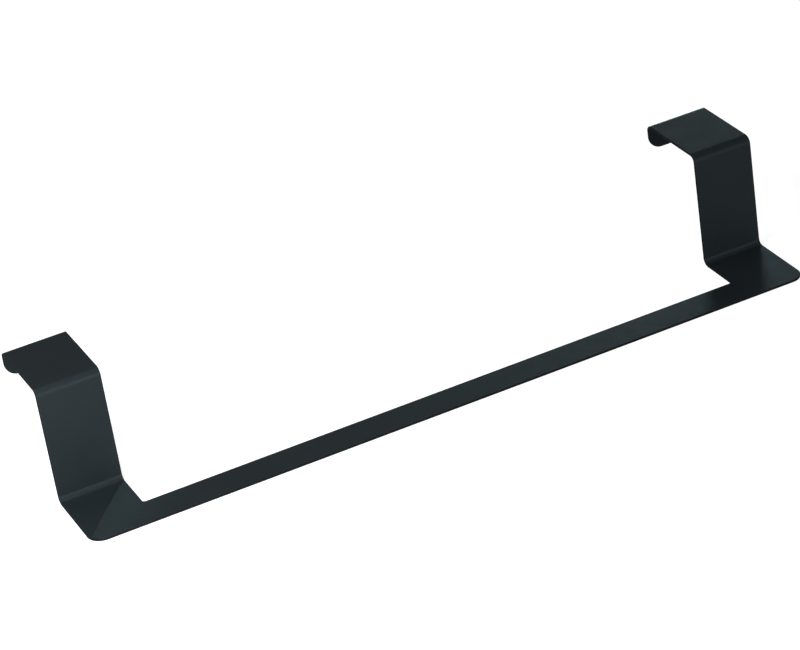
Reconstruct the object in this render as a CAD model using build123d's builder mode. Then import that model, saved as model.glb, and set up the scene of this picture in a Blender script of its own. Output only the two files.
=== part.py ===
from build123d import *
import os

# Over-door towel rail, folded from one blank of sheet steel. Millimetres, +Z up.
# The origin is below the middle of the whole rail, on the surface that it stands on.
# +X runs along the rail, and +Y runs from the rail towards the back of the door.

# Blank
sheet = 1.2             # thickness of the coated sheet
bend_radius = 2.4       # inside radius of the folds
edge_softness = 0.35    # rounding of the deburred and coated rim

# Rail and its end plates, which lie flat
rail_length = 355.0     # over both end plates
rail_width = 16.7       # front edge to back edge of the strip between the end plates
reach = 41.5            # front edge of the rail to the face of the door
rail_corner = 7.0       # rounding of the outer front corners
inner_corner = 1.2      # rounding where the strip runs into an end plate

# Hooks, one at each end
arm_width = 30.0        # width of the arm, the top plate, the lip and the end plate
height = 57.0           # underside of the rail to the top face over the door
door_gap = 41.2         # room for the door between an arm and its lip
lip_drop = 13.2         # how far the lip hangs below the top face
lip_corner = 6.5        # rounding of the two lower corners of a lip

# Places that follow from these sizes
middle = sheet / 2
depth = reach + door_gap + sheet
front = -depth / 2
door_face = front + reach
lip_face = door_face + door_gap
window_width = rail_length - 2 * arm_width
window_front = front + rail_width
lip_flat = lip_drop - bend_radius - sheet
lip_rounding = min(lip_corner, lip_flat - edge_softness, arm_width / 2 - edge_softness)
rim_rounding = min(edge_softness, sheet / 3)
smooth_turn = 1.0       # degrees; faces that turn more than this where they meet form the rim


def is_rim(edge):
    # Fold lines and the ends of rounded corners are smooth, and the rim of the sheet is square.
    sides = [face for face in towel_rail.faces() if edge in face.edges()]
    normals = [side.normal_at(edge @ 0.5) for side in sides]
    return normals[0].get_angle(normals[1]) > smooth_turn


with BuildPart() as towel_rail:
    # Side view of the sheet, traced along its mid-plane and drawn out over the whole length
    with BuildSketch(Plane.YZ.offset(-rail_length / 2)):
        with BuildLine():
            FilletPolyline(
                (front, middle),
                (door_face - middle, middle),
                (door_face - middle, height - middle),
                (lip_face + middle, height - middle),
                (lip_face + middle, height - lip_drop),
                radius=bend_radius + middle,
            )
        trace(line_width=sheet)
    extrude(amount=rail_length)

    # Everything between the hooks is cut away behind the rail
    with BuildSketch() as window:
        with Locations((0, window_front)):
            Rectangle(window_width, depth, align=(Align.CENTER, Align.MIN))
        fillet(window.vertices().group_by(Axis.Y)[0], inner_corner)
    extrude(amount=height, mode=Mode.SUBTRACT)

    # Outline corners of the blank
    fillet(towel_rail.edges().filter_by(Axis.Z).group_by(Axis.Y)[0], rail_corner)
    edges_across = towel_rail.edges().filter_by(Axis.Y)
    fillet(edges_across.filter_by_position(Axis.Y, lip_face, lip_face + sheet), lip_rounding)

    # Deburring and coating leave the whole rim softly rounded
    fillet(towel_rail.edges().filter_by(is_rim), rim_rounding)

towel_rail.part.label = "towel_rail"

os.makedirs("parts", exist_ok=True)
export_step(towel_rail.part, "parts/towel_rail.step")
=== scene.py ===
from math import radians, sin, cos
import bpy
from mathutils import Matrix, Quaternion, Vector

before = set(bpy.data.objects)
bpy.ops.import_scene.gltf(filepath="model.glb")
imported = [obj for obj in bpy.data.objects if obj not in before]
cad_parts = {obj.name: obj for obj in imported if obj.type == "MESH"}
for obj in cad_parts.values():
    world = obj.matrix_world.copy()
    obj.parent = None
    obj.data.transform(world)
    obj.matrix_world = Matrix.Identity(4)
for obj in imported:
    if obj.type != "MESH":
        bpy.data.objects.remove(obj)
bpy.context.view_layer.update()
print("frame loaded")

scene = bpy.context.scene
scene.view_settings.view_transform = "Standard"


def setInputs(tree, node, inputs):
    # Each value is a fixed one or another node's output
    for name, value in inputs.items():
        if isinstance(value, bpy.types.NodeSocket):
            tree.links.new(value, node.inputs[name])
        else:
            node.inputs[name].default_value = value


def addNode(tree, kind, inputs={}, **modes):
    # The modes come first, because they decide which inputs a node has
    node = tree.nodes.new(kind)
    for name, value in modes.items():
        setattr(node, name, value)
    setInputs(tree, node, inputs)
    return node


def addMath(tree, operation, *terms):
    node = addNode(tree, "ShaderNodeMath", dict(enumerate(terms)), operation=operation)
    return node.outputs["Value"]


def addRange(tree, value, old, new=(0.0, 1.0)):
    node = addNode(tree, "ShaderNodeMapRange", {
        "Value": value, "From Min": old[0], "From Max": old[1], "To Min": new[0], "To Max": new[1]})
    return node.outputs["Result"]


def addNoise(tree, place, n):
    node = addNode(tree, "ShaderNodeTexNoise", {
        "Vector": place, "Scale": 1 / n["size"],
        "Detail": n["detail"], "Roughness": n["roughness"]})
    return node.outputs["Fac"]


def placeRound(item, aim, azimuth, elevation, distance, roll=0.0):
    # Azimuth 0 is behind the rail and 90 at its right end; the item looks back at the aim
    turn, rise = radians(azimuth), radians(elevation)
    toward = Vector((sin(turn) * cos(rise), cos(turn) * cos(rise), sin(rise)))
    item.location = Vector(aim) + toward * distance
    item.rotation_mode = "QUATERNION"
    item.rotation_quaternion = toward.to_track_quat("Z", "Y") @ Quaternion((0, 0, 1), radians(roll))
    scene.collection.objects.link(item)


# Camera: the photograph's own view, found from the outline of the folded sheet.
# Angles in degrees, distances in metres, lens and sensor in millimetres.
viewpoint = {
    "azimuth": 201.69,              # in front of the rail, and round towards its left end
    "elevation": 29.09,
    "roll": -9.03,                  # the photograph is turned by this much
    "distance": 1.4155,
    "aim": (-0.0072, 0.0007, 0.0248),
    "lens": 142.65,
    "sensor": 36.0,
    "nearest": 0.05,
    "furthest": 50.0,
}


def makeCamera(v):
    data = bpy.data.cameras.new("photoCamera")
    data.lens = v["lens"]
    data.sensor_width = v["sensor"]
    data.clip_start, data.clip_end = v["nearest"], v["furthest"]
    camera = bpy.data.objects.new("photoCamera", data)
    placeRound(camera, v["aim"], v["azimuth"], v["elevation"], v["distance"], v["roll"])
    scene.camera = camera


makeCamera(viewpoint)
print("camera placed")


# Powder coating on the folded sheet: cool satin black, new and without wear, with the faint
# orange peel that the powder keeps after it has flowed out. Sizes and depths in metres.
coating = {
    "thinColour": (0.0114, 0.0157, 0.0175, 1.0),    # where the powder lies a little thinner
    "thickColour": (0.0130, 0.0177, 0.0199, 1.0),
    "patches": {"size": 0.038, "detail": 3.0, "roughness": 0.45},
    "patchRange": (0.36, 0.64),     # noise levels that get the thin and the thick colour
    "smoothest": 0.47,              # roughness of the glossiest and the dullest spots
    "dullest": 0.53,
    "spots": {"size": 0.009, "detail": 4.0, "roughness": 0.55},
    "spotRange": (0.33, 0.67),      # noise levels of the glossiest and the dullest spots
    "specular": 0.28,
    "specularTint": (0.70, 0.90, 1.0, 1.0),
    "peel": {"size": 0.0024, "detail": 1.0, "roughness": 0.5},
    "peelDepth": 0.000022,
    "grain": {"size": 0.00042, "detail": 2.0, "roughness": 0.5},
    "grainDepth": 0.0000035,
    # painted shade: the darker colour given to the cut rim
    "paintedRimShade": (0.0015, 0.0020, 0.0022, 1.0),
    "rimDullness": 0.45,            # added to the roughness
    "rimRange": (0.1, 0.5),         # share of the normal that points outwards where the rim
                                    # starts, and where it is complete
    "railRim": 0.42,                # how much of that share counts on the flat rail's long edges
    "railEnd": -0.02,               # along Y, behind the flat rail's back edge
}


def makeCoating(c):
    material = bpy.data.materials.new("satinBlackCoating")
    material.use_nodes = True
    tree = material.node_tree
    place = addNode(tree, "ShaderNodeTexCoord").outputs

    # Patches where the powder lies thicker, only just lighter
    patches = addNoise(tree, place["Object"], c["patches"])
    tone = addNode(tree, "ShaderNodeValToRGB", {"Fac": patches})
    colours = (c["thinColour"], c["thickColour"])
    for end, position, colour in zip(tone.color_ramp.elements, c["patchRange"], colours):
        end.position, end.color = position, colour

    # The cut rim of the sheet, where shade is painted: the ends of the blank, and in part the flat
    # rail's long edges
    facing = addNode(tree, "ShaderNodeSeparateXYZ", {"Vector": place["Normal"]}).outputs
    spot = addNode(tree, "ShaderNodeSeparateXYZ", {"Vector": place["Object"]}).outputs
    endways = addMath(tree, "ABSOLUTE", facing["X"])
    upright = addMath(tree, "MULTIPLY", addMath(tree, "ABSOLUTE", facing["Y"]), c["railRim"])
    ahead = addMath(tree, "LESS_THAN", spot["Y"], c["railEnd"])
    outwards = addMath(tree, "MAXIMUM", endways, addMath(tree, "MULTIPLY", upright, ahead))
    rim = addRange(tree, outwards, c["rimRange"])

    # Painted shade: the rim gets a darker colour than the faces, and a higher roughness, so it is
    # also duller
    shade = addNode(tree, "ShaderNodeMix", {
        "Factor": rim, "A": tone.outputs["Color"], "B": c["paintedRimShade"]}, data_type="RGBA")

    # Gloss that changes a little from spot to spot
    spots = addNoise(tree, place["Object"], c["spots"])
    gloss = addRange(tree, spots, c["spotRange"], (c["smoothest"], c["dullest"]))

    # Orange peel, and the fine grain of the powder on top of it
    peel = addNode(tree, "ShaderNodeBump", {
        "Height": addNoise(tree, place["Object"], c["peel"]),
        "Strength": 1.0, "Distance": c["peelDepth"]})
    grain = addNode(tree, "ShaderNodeBump", {
        "Height": addNoise(tree, place["Object"], c["grain"]),
        "Strength": 1.0, "Distance": c["grainDepth"], "Normal": peel.outputs["Normal"]})

    setInputs(tree, tree.nodes["Principled BSDF"], {
        "Base Color": shade.outputs["Result"],
        "Roughness": addMath(tree, "MULTIPLY_ADD", rim, c["rimDullness"], gloss),
        "Specular IOR Level": c["specular"],
        "Specular Tint": c["specularTint"],
        "Normal": grain.outputs["Normal"],
    })
    return material


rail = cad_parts["towel_rail"]
rail.data.materials.clear()
rail.data.materials.append(makeCoating(coating))
print("coating applied")


# Pale floor and white surroundings. The camera, and what is seen through glass, gets the full
# white, reflections get a share of it, and everything else only the ambient level.
studio = {
    "floorSize": 8.0,
    "floorDrop": 0.0001,            # metres below the underside of the rail
    "floorColour": (0.55, 0.55, 0.55, 1.0),
    "shadowWhite": 0.88,            # what the camera sees of the floor in full shadow by the rail
    "fadeFrom": 0.30,               # metres from the middle; past fadeTo the floor is all white
    "fadeTo": 0.85,
    "worldWhite": 1.0,
    "reflected": 0.1,
    "ambient": 0.05,
}


def whiteLevel(tree, white, reflected, ambient):
    path = addNode(tree, "ShaderNodeLightPath").outputs
    seen = addMath(tree, "MAXIMUM", path["Is Camera Ray"], path["Is Transmission Ray"])
    rest = addMath(tree, "MULTIPLY_ADD", path["Is Glossy Ray"], reflected, ambient)
    return addMath(tree, "MAXIMUM", addMath(tree, "MULTIPLY", seen, white), rest)


def makeFloor(s):
    bpy.ops.object.select_all(action="DESELECT")
    bpy.ops.mesh.primitive_plane_add(size=s["floorSize"], location=(0, 0, -s["floorDrop"]))
    floor = bpy.context.object
    floor.name = "floor"
    material = bpy.data.materials.new("paleFloor")
    material.use_nodes = True
    tree = material.node_tree
    matt = tree.nodes["Principled BSDF"]
    setInputs(tree, matt, {
        "Base Color": s["floorColour"], "Roughness": 1.0, "Specular IOR Level": 0.0})

    # The softboxes hardly reach the far floor, so it fades to the white of the surroundings
    place = addNode(tree, "ShaderNodeTexCoord").outputs
    away = addNode(tree, "ShaderNodeVectorMath", {"Vector": place["Object"]}, operation="LENGTH")
    fade = addRange(tree, away.outputs["Value"],
                    (s["fadeFrom"], s["fadeTo"]), (s["shadowWhite"], s["worldWhite"]))
    level = whiteLevel(tree, fade, s["reflected"], ambient=0.0)
    glow = addNode(tree, "ShaderNodeEmission", {"Strength": level})
    both = addNode(tree, "ShaderNodeAddShader", {
        0: matt.outputs["BSDF"], 1: glow.outputs["Emission"]})
    setInputs(tree, tree.nodes["Material Output"], {"Surface": both.outputs["Shader"]})
    floor.data.materials.append(material)


def makeWorld(s):
    world = bpy.data.worlds.new("paleStudio")
    scene.world = world
    world.use_nodes = True
    tree = world.node_tree
    level = whiteLevel(tree, s["worldWhite"], s["reflected"], s["ambient"])
    setInputs(tree, tree.nodes["Background"], {"Color": (1, 1, 1, 1), "Strength": level})


makeFloor(studio)
makeWorld(studio)
print("floor and surroundings made")

daylight = (1.0, 1.0, 1.0)
coolSheen = (0.66, 0.93, 1.0)       # lights behind the right end leave a cool sheen on the black

# Softboxes: azimuth, elevation and spread in degrees, distance, width, height and aim in metres,
# power in watts. Without an aim they face the origin, and without a spread it is 180.
softboxes = {
    "keyBehind": {"azimuth": 30, "elevation": 35, "distance": 3.0, "width": 0.35, "height": 2.2,
                  "power": 1.2, "colour": coolSheen},
    "lowBehind": {"azimuth": 34, "elevation": 4, "distance": 1.14, "width": 0.22, "height": 0.12,
                  "power": 1.4, "colour": coolSheen},
    "lowLeft": {"azimuth": 240, "elevation": 14, "distance": 0.5, "width": 0.35, "height": 0.14,
                "power": 1.9, "colour": daylight},
    "overLeft": {"azimuth": 255, "elevation": 52, "distance": 0.6, "width": 0.25, "height": 0.25,
                 "power": 1.8, "colour": daylight},
    "front": {"azimuth": 168, "elevation": 6, "distance": 3.0, "width": 0.60, "height": 0.60,
              "power": 19.5, "colour": daylight},
    "backLeft": {"azimuth": 335, "elevation": 5, "distance": 3.0, "width": 0.80, "height": 0.40,
                 "power": 14.0, "colour": daylight},      # only for the backs of the hooks
    "plateGlance": {"azimuth": 38.5, "elevation": 5, "distance": 1.24, "width": 0.02,
                    "height": 0.02, "power": 0.0025, "colour": coolSheen, "spread": 2.4,
                    "aim": (-0.162, -0.025, 0.0)},        # the lighter wedge on the left end plate
}


def makeSoftbox(name, b):
    lamp = bpy.data.lights.new(name, "AREA")
    lamp.shape = "RECTANGLE"
    lamp.size, lamp.size_y = b["width"], b["height"]
    lamp.energy = b["power"]
    lamp.color = b["colour"]
    lamp.spread = radians(b.get("spread", 180))
    box = bpy.data.objects.new(name, lamp)
    box.visible_camera = False
    placeRound(box, b.get("aim", (0, 0, 0)), b["azimuth"], b["elevation"], b["distance"])


for name, settings in softboxes.items():
    makeSoftbox(name, settings)
print("studio lit")
